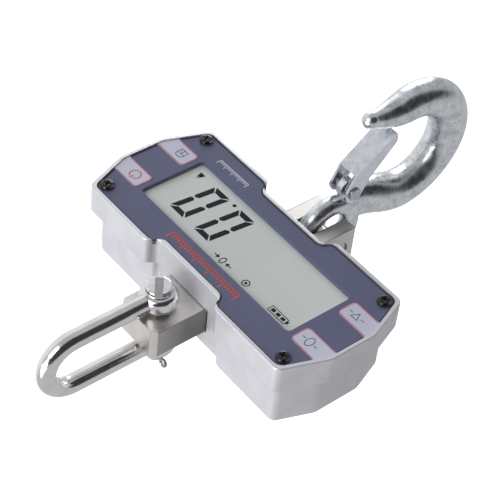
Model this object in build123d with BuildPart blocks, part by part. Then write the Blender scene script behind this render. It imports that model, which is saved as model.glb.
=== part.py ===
"""Hanging crane scale: shackle on top, weighing head with a display, latched hook below.

Frame: +Z is up along the load line, the display faces -Y, +X is the reader's right.
The origin is the seat inside the crown of the shackle, where the scale hangs. Millimetres.
"""
import os
from math import cos, pi, radians, sin

from build123d import *

# ---------------------------------------------------------------- driving dimensions
RUNNING_FIT = 0.05         # radial clearance of a pin in its hole
SHEET_GAP = 0.12           # clearance of flat parts in their recess

# heights on the load line, below the seat of the shackle
SHACKLE_PIN_Z = -63.1
HEAD_Z = -116.5            # centre of the weighing head
HOOK_PIN_Z = HEAD_Z - 57.5

# depths of the weighing head, front to back
RIM_Y = -26.6              # front edge of the housing's rim
PANEL_Y = -25.6            # face of the front panel
PANEL_BACK = PANEL_Y + 2.0
LEDGE_Y = PANEL_BACK + 0.6  # shelf that carries the gasket and the panel
BOARD_Y = -16.0            # front face of the circuit board
BOARD_BACK = BOARD_Y + 1.6
STEP_Y = -9.0              # where the housing steps in
BACK_Y = 20.8              # back face
WALL = 2.8
FRONT_WALL = 2.5           # from the panel's edge to the inside of the front half

# outlines of the head as half sizes:
# end x, end flat z, corner x, corner z, waist start x, waist end x, waist z
PANEL_OUTLINE = (87.0, 13.5, 77.4, 39.2, 27.3, 24.7, 32.6)
RIM_OUTLINE = (89.2, 13.9, 79.2, 41.5, 28.7, 26.1, 34.8)
REAR_OUTLINE = (83.7, 14.2, 75.4, 36.4, 28.8, 26.2, 32.8)
WAIST_BEND = 5.0
REAR_WAIST_BEND = 4.2
CORNER_BEND = 5.0
END_BEND = 9.0

# display and keys, on the panel
WINDOW = (123.8, 42.1)
WINDOW_Z = HEAD_Z - 0.95
KEY_INNER_X = 65.2
KEY_LOW = 9.2
KEY_HIGH = 21.8
KEY_CORNER = 2.6
KEY_TRAVEL = 0.4
KEY_PROUD = 0.15
KEY_THICK = 1.2
KEY_GAP = 0.2
STEM_X = 72.0
STEM_RADIUS = 2.0
STEM_END = -20.9           # back end of the key stems
PANEL_SCREW_X = 74.0
PANEL_SCREW_Z = 33.4
STANDOFF_X = 50.0
STANDOFF_TOP = 25.5
STANDOFF_LOW = -25.7

# shackle
ROD = 10.3
LEG_Y = 16.35
CROWN_Z = ROD / 2          # centre line of the rod at the crown
EYE_RADIUS = 10.3
EYE_IN = 11.1
EYE_OUT = 21.6
EYE_ROUND = 3.7            # the eyes are forged nearly as round as the rod
PIN_RADIUS = 5.0
PIN_HEAD_RADIUS = 7.2
PIN_HEAD_HEIGHT = 3.4
PIN_HEAD_ROUND = 1.1
PIN_SLOT = 4.4
PIN_SLOT_DEPTH = 2.0
PIN_SLOT_TURN = 51         # degrees from upright
PIN_TAIL_RADIUS = 4.2
PIN_TAIL_Y = 28.6
PIN_TAIL_CHAMFER = 0.8

# split pin, through the tail of the shackle pin
SPLIT_PIN_Y = 26.0
SPLIT_WIRE = 1.1
SPLIT_FIT = 0.1
SPLIT_EXIT = 5.5
SPLIT_LOOP = 1.8
SPLIT_LOOP_DROP = 1.6
SPLIT_BEND = 5.0
SPLIT_BEND_TURN = radians(48)

# load cell
NECK = (30.0, 18.4)        # bar between the shackle's eyes
NECK_TOP = HEAD_Z + 67.1
NECK_CORNER = 3.2          # chamfer on the two end corners of the bar
EDGE_BREAK = 0.45          # small chamfer on machined edges
FORK = (31.4, 26.0)
FORK_END = HEAD_Z - 67.9
FORK_GAP = 14.0
FORK_ROOT = HEAD_Z - 33.5
CELL_TOP = HEAD_Z + 27.0
CELL_SCREW_X = 9.0
CELL_SCREW_Z = HEAD_Z + 20.5
SEAL_GAP = 0.4             # gap between the load cell and the housing, closed by the seals
HOOK_PIN_RADIUS = 6.0
HOOK_PIN_RECESS = 1.0

# battery compartment, at the back on the reader's right
HOLDER = (57.0, 46.4, 16.4)
HOLDER_X = 46.0
CELL_RADIUS = 7.1
CELL_LENGTH = 49.2
CELL_PITCH = 14.8
DOOR = (57.0, 61.0)
DOOR_SCREW_Z = 27.0
DOOR_THICK = 1.8

# hook, drawn in its own plane: a is down the shank, b is towards the point
HOOK_TILT = radians(35.0)  # at rest the hook is held swung forward by this much
EYE_CENTRE_DROP = 4.8
EYE_RING = 16.5
EYE_WIRE = 5.5
BOWL_A = 63.4
BOWL_RADIUS = 31.4
BOWL_START = -2.6          # angles around the bowl, from the shank side to the point side
BOWL_END = 1.15
POINT_LENGTH = 24.8
POINT_FLARE = 5.9
POINT_RADIUS = 4.3
NOSE_RADIUS = 4.9          # small ball at the end of the point
POINT_TAPER = 1.3          # above 1, the point thins mostly near its end

# latch
PIVOT = (23.4, 15.9)
LUG_HALF = 2.0
LATCH_HALF = 7.0
LATCH_SHEET = 1.5
RIVET_RADIUS = 2.4
SPRING_COIL = 3.5
SPRING_WIRE = 0.45

os.makedirs("parts", exist_ok=True)


def save(part, name):
    """Label a finished piece and write it."""
    part.label = name
    export_step(part, f"parts/{name}.step")


def front(y, z=HEAD_Z, x=0.0):
    """Plane facing the reader at depth y, its own up along +Z."""
    return Plane(origin=(x, y, z), x_dir=(1, 0, 0), z_dir=(0, -1, 0))


def across(x, y, z):
    """Plane facing +X, its own right along +Y and its own up along +Z."""
    return Plane(origin=(x, y, z), x_dir=(0, 1, 0), z_dir=(1, 0, 0))


def level(z):
    """Plane facing up at height z."""
    return Plane.XY.offset(z)


def head_face(y, half_sizes, shrink=0.0, waist_bend=WAIST_BEND):
    """Dog-bone face of the weighing head at depth y, drawn in evenly by shrink."""
    end_x, flat_z, corner_x, corner_z, start_x, waist_x, waist_z = half_sizes
    slide = 0.69 * shrink
    right_top = [
        (end_x - shrink, flat_z - 0.18 * shrink),
        (corner_x - slide, corner_z - shrink),
        (start_x + slide, corner_z - shrink),
        (waist_x + slide, waist_z - shrink),
    ]
    left_top = [(-x, z) for x, z in reversed(right_top)]
    bottom = [(x, -z) for x, z in reversed(right_top + left_top)]
    bends = [END_BEND, max(CORNER_BEND - shrink, 1.5), waist_bend - shrink, waist_bend + shrink]
    bends = bends + bends[::-1]
    with BuildSketch(front(y)) as face:
        with BuildLine():
            FilletPolyline(*right_top, *left_top, *bottom, radius=bends + bends, close=True)
        make_face()
    return face.sketch


# ---------------------------------------------------------------- shackle
with BuildPart() as shackle_bow:
    for near in (-EYE_OUT, EYE_IN):
        with BuildSketch(front(near, SHACKLE_PIN_Z)):
            Circle(EYE_RADIUS)
        extrude(amount=EYE_IN - EYE_OUT)
    fillet(edges().filter_by(GeomType.CIRCLE), EYE_ROUND)
    with BuildLine() as bow_line:
        Line((0, -LEG_Y, SHACKLE_PIN_Z), (0, -LEG_Y, CROWN_Z - LEG_Y))
        ThreePointArc((0, -LEG_Y, CROWN_Z - LEG_Y), (0, 0, CROWN_Z), (0, LEG_Y, CROWN_Z - LEG_Y))
        Line((0, LEG_Y, CROWN_Z - LEG_Y), (0, LEG_Y, SHACKLE_PIN_Z))
    with BuildSketch(Plane(origin=(0, -LEG_Y, SHACKLE_PIN_Z), z_dir=(0, 0, 1))):
        Circle(ROD / 2)
    sweep(path=bow_line.line)
    with BuildSketch(front(-2 * EYE_OUT, SHACKLE_PIN_Z)):
        Circle(PIN_RADIUS + RUNNING_FIT)
    extrude(amount=-4 * EYE_OUT, mode=Mode.SUBTRACT)
save(shackle_bow.part, "shackle_bow")

with BuildPart() as shackle_pin:
    with BuildSketch(front(-EYE_OUT, SHACKLE_PIN_Z)):
        Circle(PIN_HEAD_RADIUS)
    extrude(amount=PIN_HEAD_HEIGHT)
    fillet(edges().group_by(Axis.Y)[0], PIN_HEAD_ROUND)
    with BuildSketch(front(-EYE_OUT, SHACKLE_PIN_Z)):
        Circle(PIN_RADIUS)
    extrude(amount=-2 * EYE_OUT)
    with BuildSketch(front(EYE_OUT, SHACKLE_PIN_Z)):
        Circle(PIN_TAIL_RADIUS)
    extrude(amount=EYE_OUT - PIN_TAIL_Y)
    chamfer(edges().group_by(Axis.Y)[-1], PIN_TAIL_CHAMFER)
    with BuildSketch(front(-EYE_OUT - PIN_HEAD_HEIGHT, SHACKLE_PIN_Z)):
        with Locations(Location((0, 0), PIN_SLOT_TURN)):
            Rectangle(PIN_SLOT, 3 * PIN_HEAD_RADIUS)
    extrude(amount=-PIN_SLOT_DEPTH, mode=Mode.SUBTRACT)
    with BuildSketch(across(-2 * PIN_TAIL_RADIUS, SPLIT_PIN_Y, SHACKLE_PIN_Z)):
        Circle(SPLIT_WIRE + SPLIT_FIT)
    extrude(amount=4 * PIN_TAIL_RADIUS, mode=Mode.SUBTRACT)
save(shackle_pin.part, "shackle_pin")

with BuildPart() as split_pin:
    with BuildSketch(across(-SPLIT_EXIT, SPLIT_PIN_Y, SHACKLE_PIN_Z)):
        Circle(SPLIT_WIRE)
    extrude(amount=2 * SPLIT_EXIT)
    for side in (1, -1):
        start = Vector(SPLIT_EXIT, SPLIT_PIN_Y, SHACKLE_PIN_Z)
        middle, end = (
            start + Vector(sin(turn), 0, side * (1 - cos(turn))) * SPLIT_BEND
            for turn in (SPLIT_BEND_TURN / 2, SPLIT_BEND_TURN)
        )
        with BuildLine() as leg_line:
            ThreePointArc(start, middle, end)
        with BuildSketch(across(*start)):
            Circle(SPLIT_WIRE)
            with Locations((0, -side * SPLIT_WIRE)):
                Rectangle(4 * SPLIT_WIRE, 2 * SPLIT_WIRE, mode=Mode.SUBTRACT)
        sweep(path=leg_line.line)
    loop_x = -SPLIT_EXIT - SPLIT_LOOP
    loop_y = SPLIT_PIN_Y + SPLIT_LOOP_DROP
    with BuildSketch(front(loop_y, SHACKLE_PIN_Z, loop_x)):
        with Locations((SPLIT_LOOP, 0)):
            Circle(SPLIT_WIRE)
    revolve(axis=Axis((loop_x, loop_y, SHACKLE_PIN_Z), (0, 0, 1)))
save(split_pin.part, "split_pin")

# ---------------------------------------------------------------- load cell
CELL_SLOT = 2.5            # slots cut in from both sides, which leave the cell its bending part
CELL_SLOT_Z = 12.0
SLOT_REACH = 9.0
POCKET_RADIUS = 8.0
WEB = 3.0                  # thin wall between the two pockets, where the gauges sit
CELL_THREAD = 2.5
CELL_THREAD_DEPTH = 11.0
SET_SCREW_X = (FORK[0] + FORK_GAP) / 4
SET_SCREW_RADIUS = 2.0
SET_SCREW_FIT = 0.04
SET_SCREW_SUNK = 0.3
SET_SCREW_TIP = 0.1        # air between the screw's tip and the pin
SET_SCREW_SOCKET = 1.15
SET_SCREW_SOCKET_DEPTH = 1.6
HOOK_PIN_FIT = 0.02
HOOK_PIN_CHAMFER = 0.6
GAUGE = (5.0, 3.6, 0.12)
GAUGE_X = 3.2
with BuildPart() as load_cell:
    with BuildSketch(level(FORK_END)):
        Rectangle(*FORK)
    extrude(amount=CELL_TOP - FORK_END)
    with BuildSketch(level(CELL_TOP)):
        Rectangle(*NECK)
    extrude(amount=NECK_TOP - CELL_TOP)
    chamfer(edges().filter_by(Axis.Z).filter_by(lambda e: e.center().Z > CELL_TOP), EDGE_BREAK)
    chamfer(edges().group_by(Axis.Z)[-1].filter_by(Axis.Y), NECK_CORNER)
    chamfer(edges().group_by(Axis.Z)[-1].filter_by(Axis.X), EDGE_BREAK)
    fillet(edges().group_by(Axis.Z)[0], EDGE_BREAK)
    with BuildSketch(front(-FORK[1])):
        with Locations((0, FORK_END - HEAD_Z - 1)):
            Rectangle(FORK_GAP, FORK_ROOT - FORK_END + 1, align=(Align.CENTER, Align.MIN))
        for side in (1, -1):
            with Locations((side * (SLOT_REACH - FORK[0] / 2), side * CELL_SLOT_Z)):
                Rectangle(FORK[0], CELL_SLOT)
    extrude(amount=-2 * FORK[1], mode=Mode.SUBTRACT)
    for face, inward in ((-FORK[1] / 2, -1), (FORK[1] / 2, 1)):
        with BuildSketch(front(face)):
            Circle(POCKET_RADIUS)
        extrude(amount=inward * (FORK[1] - WEB) / 2, mode=Mode.SUBTRACT)
    with BuildSketch(front(-FORK[1], SHACKLE_PIN_Z)):
        Circle(PIN_RADIUS + RUNNING_FIT)
    extrude(amount=-2 * FORK[1], mode=Mode.SUBTRACT)
    with BuildSketch(across(-FORK[0], 0, HOOK_PIN_Z)):
        Circle(HOOK_PIN_RADIUS + HOOK_PIN_FIT)
    extrude(amount=2 * FORK[0], mode=Mode.SUBTRACT)
    with BuildSketch(front(FORK[1] / 2, CELL_SCREW_Z)):
        with Locations((-CELL_SCREW_X, 0), (CELL_SCREW_X, 0)):
            Circle(CELL_THREAD)
    extrude(amount=CELL_THREAD_DEPTH, mode=Mode.SUBTRACT)
    with BuildSketch(level(FORK_END)):
        with Locations((SET_SCREW_X, 0)):
            Circle(SET_SCREW_RADIUS)
    extrude(amount=HOOK_PIN_Z - FORK_END, mode=Mode.SUBTRACT)
save(load_cell.part, "load_cell")

with BuildPart() as hook_pin:
    with BuildSketch(across(-FORK[0] / 2 + HOOK_PIN_RECESS, 0, HOOK_PIN_Z)):
        Circle(HOOK_PIN_RADIUS)
    extrude(amount=FORK[0] - 2 * HOOK_PIN_RECESS)
    chamfer(edges().filter_by(GeomType.CIRCLE), HOOK_PIN_CHAMFER)
save(hook_pin.part, "hook_pin")

with BuildPart() as pin_set_screw:
    with BuildSketch(level(FORK_END + SET_SCREW_SUNK)):
        with Locations((SET_SCREW_X, 0)):
            Circle(SET_SCREW_RADIUS - SET_SCREW_FIT)
    extrude(amount=HOOK_PIN_Z - HOOK_PIN_RADIUS - SET_SCREW_TIP - FORK_END - SET_SCREW_SUNK)
    with BuildSketch(level(FORK_END + SET_SCREW_SUNK)):
        with Locations((SET_SCREW_X, 0)):
            RegularPolygon(SET_SCREW_SOCKET, 6)
    extrude(amount=SET_SCREW_SOCKET_DEPTH, mode=Mode.SUBTRACT)
save(pin_set_screw.part, "pin_set_screw")

with BuildPart() as strain_gauges:
    for face, outward in ((-WEB / 2, 1), (WEB / 2, -1)):
        with BuildSketch(front(face)):
            with Locations(Location((-GAUGE_X, 0), 45), Location((GAUGE_X, 0), -45)):
                Rectangle(GAUGE[0], GAUGE[1])
        extrude(amount=outward * GAUGE[2])
save(strain_gauges.part, "strain_gauges")

# ---------------------------------------------------------------- housing
BOSS_RADIUS = 4.6
SEAL_HOLE = (NECK[0] + 2 * SEAL_GAP, NECK[1] + 2 * SEAL_GAP)
FORK_HOLE = (FORK[0] + 2 * SEAL_GAP, FORK[1] + 2 * SEAL_GAP)
PAD_DEPTH = BACK_Y - WALL - FORK[1] / 2
BOSS_END = STEP_Y - 0.5    # back end of the panel screws' bosses
RIM_ROUND = 0.7
SHOULDER_ROUND = 1.0
BACK_ROUND = 2.4
PAD = (29.0, 10.0)         # pad inside the back wall that the load cell is screwed to
DOOR_BOSS_RADIUS = 3.2
DOOR_BOSS_HEIGHT = 6.0
PANEL_SCREW_HOLE = 2.0
PANEL_SCREW_HOLE_DEPTH = 11.5
CELL_SCREW_HOLE = 2.6
CELL_SCREW_SEAT = 4.7
CELL_SCREW_SEAT_DEPTH = 2.6
DOOR_ROUND = 3.0
DOOR_GAP = 0.25
DOOR_OPENING = (HOLDER[0] - 6, HOLDER[1] - 3)
DOOR_OPENING_ROUND = 2.0
DOOR_SCREW_HOLE = 1.5
DOOR_SCREW_HOLE_DEPTH = 8.0
cell_screw_places = [(-CELL_SCREW_X, 0), (CELL_SCREW_X, 0)]
door_screw_places = [(HOLDER_X, -DOOR_SCREW_Z), (HOLDER_X, DOOR_SCREW_Z)]
panel_screw_places = [
    (x, z) for x in (-PANEL_SCREW_X, PANEL_SCREW_X) for z in (-PANEL_SCREW_Z, PANEL_SCREW_Z)
]

with BuildPart() as housing:
    extrude(head_face(STEP_Y, RIM_OUTLINE), amount=STEP_Y - RIM_Y)
    fillet(edges().group_by(Axis.Y)[-1], SHOULDER_ROUND)
    fillet(edges().group_by(Axis.Y)[0], RIM_ROUND)
    extrude(head_face(BACK_Y, REAR_OUTLINE, 0, REAR_WAIST_BEND), amount=BACK_Y - STEP_Y)
    fillet(edges().group_by(Axis.Y)[-1], BACK_ROUND)
    extrude(head_face(LEDGE_Y, PANEL_OUTLINE), amount=LEDGE_Y - RIM_Y, mode=Mode.SUBTRACT)
    front_cavity = head_face(STEP_Y - WALL, PANEL_OUTLINE, FRONT_WALL)
    extrude(front_cavity, amount=STEP_Y - WALL - LEDGE_Y, mode=Mode.SUBTRACT)
    rear_cavity = head_face(BACK_Y - WALL, REAR_OUTLINE, WALL, REAR_WAIST_BEND)
    extrude(rear_cavity, amount=BACK_Y - STEP_Y, mode=Mode.SUBTRACT)
    with BuildSketch(front(BOSS_END)):
        with Locations(*panel_screw_places):
            Circle(BOSS_RADIUS)
    extrude(amount=BOSS_END - LEDGE_Y)
    with BuildSketch(front(BACK_Y - WALL, CELL_SCREW_Z)):
        Rectangle(*PAD)
    extrude(amount=PAD_DEPTH)
    with BuildSketch(front(BACK_Y - WALL)):
        with Locations(*door_screw_places):
            Circle(DOOR_BOSS_RADIUS)
    extrude(amount=DOOR_BOSS_HEIGHT)
    with BuildSketch(front(LEDGE_Y)):
        with Locations(*panel_screw_places):
            Circle(PANEL_SCREW_HOLE)
    extrude(amount=-PANEL_SCREW_HOLE_DEPTH, mode=Mode.SUBTRACT)
    with BuildSketch(level(HEAD_Z)):
        Rectangle(*SEAL_HOLE)
    extrude(amount=2 * RIM_OUTLINE[-1], mode=Mode.SUBTRACT)
    with BuildSketch(level(HEAD_Z)):
        Rectangle(*FORK_HOLE)
    extrude(amount=-2 * RIM_OUTLINE[-1], mode=Mode.SUBTRACT)
    with BuildSketch(front(BACK_Y, CELL_SCREW_Z)):
        with Locations(*cell_screw_places):
            Circle(CELL_SCREW_HOLE)
    extrude(amount=WALL + PAD_DEPTH, mode=Mode.SUBTRACT)
    with BuildSketch(front(BACK_Y, CELL_SCREW_Z)):
        with Locations(*cell_screw_places):
            Circle(CELL_SCREW_SEAT)
    extrude(amount=CELL_SCREW_SEAT_DEPTH, mode=Mode.SUBTRACT)
    with BuildSketch(front(BACK_Y, HEAD_Z, HOLDER_X)):
        RectangleRounded(DOOR[0] + 2 * DOOR_GAP, DOOR[1] + 2 * DOOR_GAP, DOOR_ROUND + DOOR_GAP)
    extrude(amount=DOOR_THICK, mode=Mode.SUBTRACT)
    with BuildSketch(front(BACK_Y, HEAD_Z, HOLDER_X)):
        RectangleRounded(*DOOR_OPENING, DOOR_OPENING_ROUND)
    extrude(amount=2 * WALL, mode=Mode.SUBTRACT)
    with BuildSketch(front(BACK_Y)):
        with Locations(*door_screw_places):
            Circle(DOOR_SCREW_HOLE)
    extrude(amount=DOOR_SCREW_HOLE_DEPTH, mode=Mode.SUBTRACT)
save(housing.part, "housing")

CELL_SCREW_HEAD = (4.4, 2.3)   # radius and height
CELL_SCREW_SHANK = (2.45, 14.0)
CELL_SCREW_SOCKET = (2.0, 1.6)
with BuildPart() as load_cell_screws:
    with BuildSketch(front(BACK_Y - CELL_SCREW_SEAT_DEPTH, CELL_SCREW_Z)):
        with Locations(*cell_screw_places):
            Circle(CELL_SCREW_SHANK[0])
    extrude(amount=CELL_SCREW_SHANK[1])
    head_top = front(BACK_Y - CELL_SCREW_SEAT_DEPTH + CELL_SCREW_HEAD[1], CELL_SCREW_Z)
    with BuildSketch(head_top):
        with Locations(*cell_screw_places):
            Circle(CELL_SCREW_HEAD[0])
    extrude(amount=CELL_SCREW_HEAD[1])
    fillet(edges().group_by(Axis.Y)[-1], EDGE_BREAK)
    with BuildSketch(head_top):
        with Locations(*cell_screw_places):
            RegularPolygon(CELL_SCREW_SOCKET[0], 6)
    extrude(amount=CELL_SCREW_SOCKET[1], mode=Mode.SUBTRACT)
save(load_cell_screws.part, "load_cell_screws")

SEAL_THICK = 2.2
SEAL_MARGIN = (9.0, 6.0)
SEAL_ROUND = 3.0
SEAL_FIT = 0.1
UPPER_SEAL_Z = HEAD_Z + 27.7
LOWER_SEAL_Z = HEAD_Z - 29.9


def seal(name, bar, z):
    """Rubber plate around a bar of the load cell, against the inside of the waist wall."""
    with BuildPart() as plate:
        with BuildSketch(level(z)):
            RectangleRounded(bar[0] + SEAL_MARGIN[0], bar[1] + SEAL_MARGIN[1], SEAL_ROUND)
            Rectangle(bar[0] + SEAL_FIT, bar[1] + SEAL_FIT, mode=Mode.SUBTRACT)
        extrude(amount=SEAL_THICK)
    save(plate.part, name)


seal("upper_seal", NECK, UPPER_SEAL_Z)
seal("lower_seal", FORK, LOWER_SEAL_Z)

# ---------------------------------------------------------------- front panel
KEY_MIDDLE = (KEY_LOW + KEY_HIGH) / 2
KEY_REACH = 30.0           # longer than the key, which the panel's edge then cuts off
WINDOW_ROUND = 2.5
WINDOW_EDGE = 0.3
PANEL_HOLE = 2.2
GASKET_INSET = 0.3


def key_outline(side_x, side_z, grow=0.0):
    """Key at one corner of the panel, from its rounded inner end out past the panel's edge."""
    inner = KEY_INNER_X - grow
    with Locations((side_x * (inner + KEY_REACH / 2), side_z * KEY_MIDDLE)):
        RectangleRounded(KEY_REACH, KEY_HIGH - KEY_LOW + 2 * grow, KEY_CORNER + grow)


with BuildPart() as front_panel:
    extrude(head_face(PANEL_BACK, PANEL_OUTLINE, SHEET_GAP), amount=PANEL_BACK - PANEL_Y)
    with BuildSketch(front(PANEL_BACK)):
        with Locations((0, WINDOW_Z - HEAD_Z)):
            RectangleRounded(*WINDOW, WINDOW_ROUND)
        with Locations(*panel_screw_places):
            Circle(PANEL_HOLE)
    extrude(amount=PANEL_BACK - PANEL_Y, mode=Mode.SUBTRACT)
    face_edges = edges().group_by(Axis.Y)[0]
    fillet(face_edges.filter_by(lambda e: abs(e.center().Z - WINDOW_Z) < WINDOW[1] / 2 + 1), WINDOW_EDGE)
    for side_x in (1, -1):
        for side_z in (1, -1):
            with BuildSketch(front(PANEL_Y)):
                key_outline(side_x, side_z, KEY_GAP)
            extrude(amount=PANEL_Y - PANEL_BACK, mode=Mode.SUBTRACT)
save(front_panel.part, "front_panel")

with BuildPart() as panel_gasket:
    gasket_thick = LEDGE_Y - PANEL_BACK
    extrude(head_face(LEDGE_Y, PANEL_OUTLINE, GASKET_INSET), amount=gasket_thick)
    extrude(head_face(LEDGE_Y, PANEL_OUTLINE, FRONT_WALL), amount=gasket_thick, mode=Mode.SUBTRACT)
save(panel_gasket.part, "panel_gasket")

SCREW_HEAD = (3.9, 2.5)    # radius and height
SCREW_HEAD_ROUND = 1.6
SCREW_SHANK = (1.95, 12.0)
CROSS = (4.6, 0.95)
CROSS_DEPTH = 1.5
CROSS_TURN = 30
with BuildPart() as panel_screws:
    for x, z in panel_screw_places:
        with BuildSketch(front(PANEL_Y, HEAD_Z + z, x)):
            Circle(SCREW_HEAD[0])
        extrude(amount=SCREW_HEAD[1])
    fillet(edges().group_by(Axis.Y)[0], SCREW_HEAD_ROUND)
    for x, z in panel_screw_places:
        with BuildSketch(front(PANEL_Y, HEAD_Z + z, x)):
            Circle(SCREW_SHANK[0])
        extrude(amount=-SCREW_SHANK[1])
    for x, z in panel_screw_places:
        with BuildSketch(front(PANEL_Y - SCREW_HEAD[1], HEAD_Z + z, x)):
            with Locations(Location((0, 0), CROSS_TURN)):
                Rectangle(*CROSS)
                Rectangle(*reversed(CROSS))
        extrude(amount=-CROSS_DEPTH, taper=8, mode=Mode.SUBTRACT)
save(panel_screws.part, "panel_screws")

key_places = {"power_key": (1, 1), "light_key": (1, -1), "zero_key": (-1, 1), "tare_key": (-1, -1)}
KEY_BACK = PANEL_Y - KEY_PROUD + KEY_THICK
for name, (side_x, side_z) in key_places.items():
    with BuildPart() as key:
        with BuildSketch(front(PANEL_Y - KEY_PROUD)):
            key_outline(side_x, side_z)
        extrude(amount=-KEY_THICK)
        edge = head_face(PANEL_Y + KEY_THICK, PANEL_OUTLINE, SHEET_GAP)
        extrude(edge, amount=2 * KEY_THICK, mode=Mode.INTERSECT)
        with BuildSketch(front(KEY_BACK, HEAD_Z + side_z * KEY_MIDDLE, side_x * STEM_X)):
            Circle(STEM_RADIUS)
        extrude(amount=KEY_BACK - STEM_END)
    save(key.part, name)

# ---------------------------------------------------------------- display and circuit board
GLASS_Y = -22.8
GLASS_THICK = 2.6
LIGHT_THICK = 3.0
GLASS = (WINDOW[0] + 3.2, WINDOW[1] + 3.2)
FRAME_WALL = 0.4
FRAME_LIP = 0.3            # how far the frame stands back from the window's edge
with BuildPart() as lcd_glass:
    with BuildSketch(front(GLASS_Y + GLASS_THICK, WINDOW_Z)):
        Rectangle(*GLASS)
    extrude(amount=GLASS_THICK)
save(lcd_glass.part, "lcd_glass")

with BuildPart() as backlight:
    with BuildSketch(front(GLASS_Y + GLASS_THICK + LIGHT_THICK, WINDOW_Z)):
        Rectangle(*GLASS)
    extrude(amount=LIGHT_THICK)
save(backlight.part, "backlight")

with BuildPart() as lcd_frame:
    with BuildSketch(front(GLASS_Y - FRAME_WALL, WINDOW_Z)):
        Rectangle(GLASS[0] + 2 * FRAME_WALL, GLASS[1] + 2 * FRAME_WALL)
    extrude(amount=GLASS_Y - FRAME_WALL - BOARD_Y)
    with BuildSketch(front(GLASS_Y, WINDOW_Z)):
        Rectangle(*GLASS)
    extrude(amount=GLASS_Y - BOARD_Y, mode=Mode.SUBTRACT)
    with BuildSketch(front(GLASS_Y, WINDOW_Z)):
        Rectangle(WINDOW[0] + 2 * FRAME_LIP, WINDOW[1] + 2 * FRAME_LIP)
    extrude(amount=FRAME_WALL, mode=Mode.SUBTRACT)
save(lcd_frame.part, "lcd_frame")

BOARD = (154.0, 55.0)
BOARD_ROUND = 4.0
BOARD_HOLE = 1.3
STANDOFF_RADIUS = 1.9
STANDOFF_BORE = 1.0
BOARD_SCREW_HEAD = (2.0, 1.4)  # radius and height
BOARD_SCREW_SHANK = (0.95, 5.0)
BOARD_SCREW_ROUND = 0.6
standoff_places = [(x, z) for x in (-STANDOFF_X, STANDOFF_X) for z in (STANDOFF_TOP, STANDOFF_LOW)]
with BuildPart() as circuit_board:
    with BuildSketch(front(BOARD_BACK)):
        RectangleRounded(*BOARD, BOARD_ROUND)
        with Locations(*standoff_places):
            Circle(BOARD_HOLE, mode=Mode.SUBTRACT)
    extrude(amount=BOARD_BACK - BOARD_Y)
save(circuit_board.part, "circuit_board")

with BuildPart() as board_standoffs:
    with BuildSketch(front(BOARD_Y)):
        with Locations(*standoff_places):
            RegularPolygon(STANDOFF_RADIUS, 6)
            Circle(STANDOFF_BORE, mode=Mode.SUBTRACT)
    extrude(amount=BOARD_Y - PANEL_BACK)
save(board_standoffs.part, "board_standoffs")

with BuildPart() as board_screws:
    with BuildSketch(front(BOARD_BACK)):
        with Locations(*standoff_places):
            Circle(BOARD_SCREW_HEAD[0])
    extrude(amount=-BOARD_SCREW_HEAD[1])
    fillet(edges().group_by(Axis.Y)[-1], BOARD_SCREW_ROUND)
    with BuildSketch(front(BOARD_BACK)):
        with Locations(*standoff_places):
            Circle(BOARD_SCREW_SHANK[0])
    extrude(amount=BOARD_SCREW_SHANK[1])
save(board_screws.part, "board_screws")

# middle x and z, width, height and thickness of each chip
chips = [
    (-34, 6, 12, 12, 1.6),     # processor
    (-26, -14, 8.5, 5.2, 1.5),  # display driver
    (24, 10, 5, 6.4, 1.4),     # amplifier of the load cell
    (30, -8, 8.5, 5.2, 1.5),   # converter
    (52, 12, 6, 6, 2.2),       # power coil
]
with BuildPart() as board_chips:
    for x, z, wide, tall, thick in chips:
        with BuildSketch(front(BOARD_BACK, HEAD_Z + z, x)):
            Rectangle(wide, tall)
        extrude(amount=-thick)
save(board_chips.part, "board_chips")

BUZZER_X = -56.0
BUZZER_Z = HEAD_Z - 10.0
BUZZER = (6.0, 7.5)        # radius and height
BUZZER_HOLE = (1.2, 2.0)
with BuildPart() as buzzer:
    with BuildSketch(front(BOARD_BACK, BUZZER_Z, BUZZER_X)):
        Circle(BUZZER[0])
    extrude(amount=-BUZZER[1])
    with BuildSketch(front(BOARD_BACK + BUZZER[1], BUZZER_Z, BUZZER_X)):
        Circle(BUZZER_HOLE[0])
    extrude(amount=BUZZER_HOLE[1], mode=Mode.SUBTRACT)
save(buzzer.part, "buzzer")

SWITCH = (6.0, 3.4)        # side and height of the switch's case
SWITCH_BUTTON = 1.7
SWITCH_PLAY = 0.1          # air between a key's stem, pressed home, and its switch
switch_places = [(x * STEM_X, z * KEY_MIDDLE) for x, z in key_places.values()]
with BuildPart() as key_switches:
    with BuildSketch(front(BOARD_Y)):
        with Locations(*switch_places):
            Rectangle(SWITCH[0], SWITCH[0])
    extrude(amount=SWITCH[1])
    with BuildSketch(front(BOARD_Y - SWITCH[1])):
        with Locations(*switch_places):
            Circle(SWITCH_BUTTON)
    extrude(amount=BOARD_Y - SWITCH[1] - STEM_END - KEY_TRAVEL - SWITCH_PLAY)
save(key_switches.part, "key_switches")

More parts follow.
